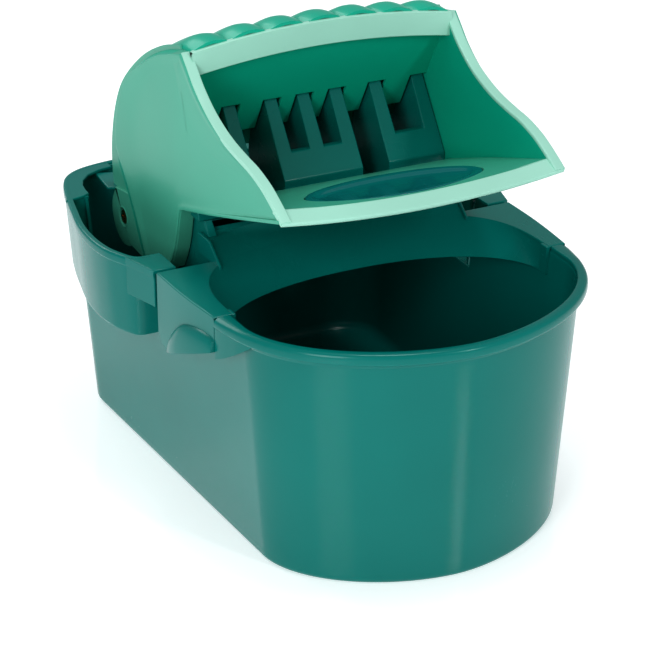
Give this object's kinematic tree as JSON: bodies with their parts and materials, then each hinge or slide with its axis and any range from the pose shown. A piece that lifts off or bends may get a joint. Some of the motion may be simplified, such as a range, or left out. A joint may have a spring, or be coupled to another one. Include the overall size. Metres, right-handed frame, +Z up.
{
  "type": "mop bucket with press wringer",
  "caption": "Long plastic cleaning bucket with a lift-out press frame and a hinged wringing hopper over finger combs for a folded flat mop.",
  "frame": {"origin": "middle of the footprint, on the floor", "axes": "+Z up, +X to the right seen from the rounded dipping end, +Y from the rounded dipping end towards the press end"},
  "size_m": [0.3418, 0.444, 0.357],
  "materials": {
    "bucket_plastic": "glossy moulded polypropylene, dark teal",
    "press_plastic": "glossy moulded polypropylene, dark teal",
    "hopper_plastic": "satin moulded polypropylene, mint",
    "inlay_plastic": "high gloss",
    "brass": "passivated",
    "steel": "zinc plated",
    "bush_plastic": "natural acetal"
  },
  "bodies": {
    "bucket": {"bucket": "bucket_plastic"},
    "press": {"press_frame": "press_plastic", "drain_grate": "press_plastic", "comb_left": "press_plastic", "comb_middle": "press_plastic", "comb_right": "press_plastic", "comb_screw_left_1": "steel", "comb_screw_left_2": "steel", "comb_screw_middle_1": "steel", "comb_screw_middle_2": "steel", "comb_screw_right_1": "steel", "comb_screw_right_2": "steel", "pivot_insert_left": "brass", "pivot_bush_left": "bush_plastic", "pivot_washer_left": "steel", "pivot_screw_left": "brass", "return_spring_left": "steel", "pivot_insert_right": "brass", "pivot_bush_right": "bush_plastic", "pivot_washer_right": "steel", "pivot_screw_right": "brass", "return_spring_right": "steel"},
    "hopper": {"hopper": "hopper_plastic", "oval_inlay": "inlay_plastic"}
  },
  "joints": [
    {"name": "press_lift", "type": "slide", "parent": "bucket", "child": "press", "axis": [0, 0, 1], "range_m": [0, 0.12]},
    {"name": "hopper_swing", "type": "hinge", "parent": "press", "child": "hopper", "pos_m": [0, 0.153, 0.167], "axis": [1, 0, 0], "range_deg": [0, 7], "stiffness_Nm_per_rad": 4, "springref_deg": -17.19, "deforming": ["return_spring_left", "return_spring_right"]}
  ]
}
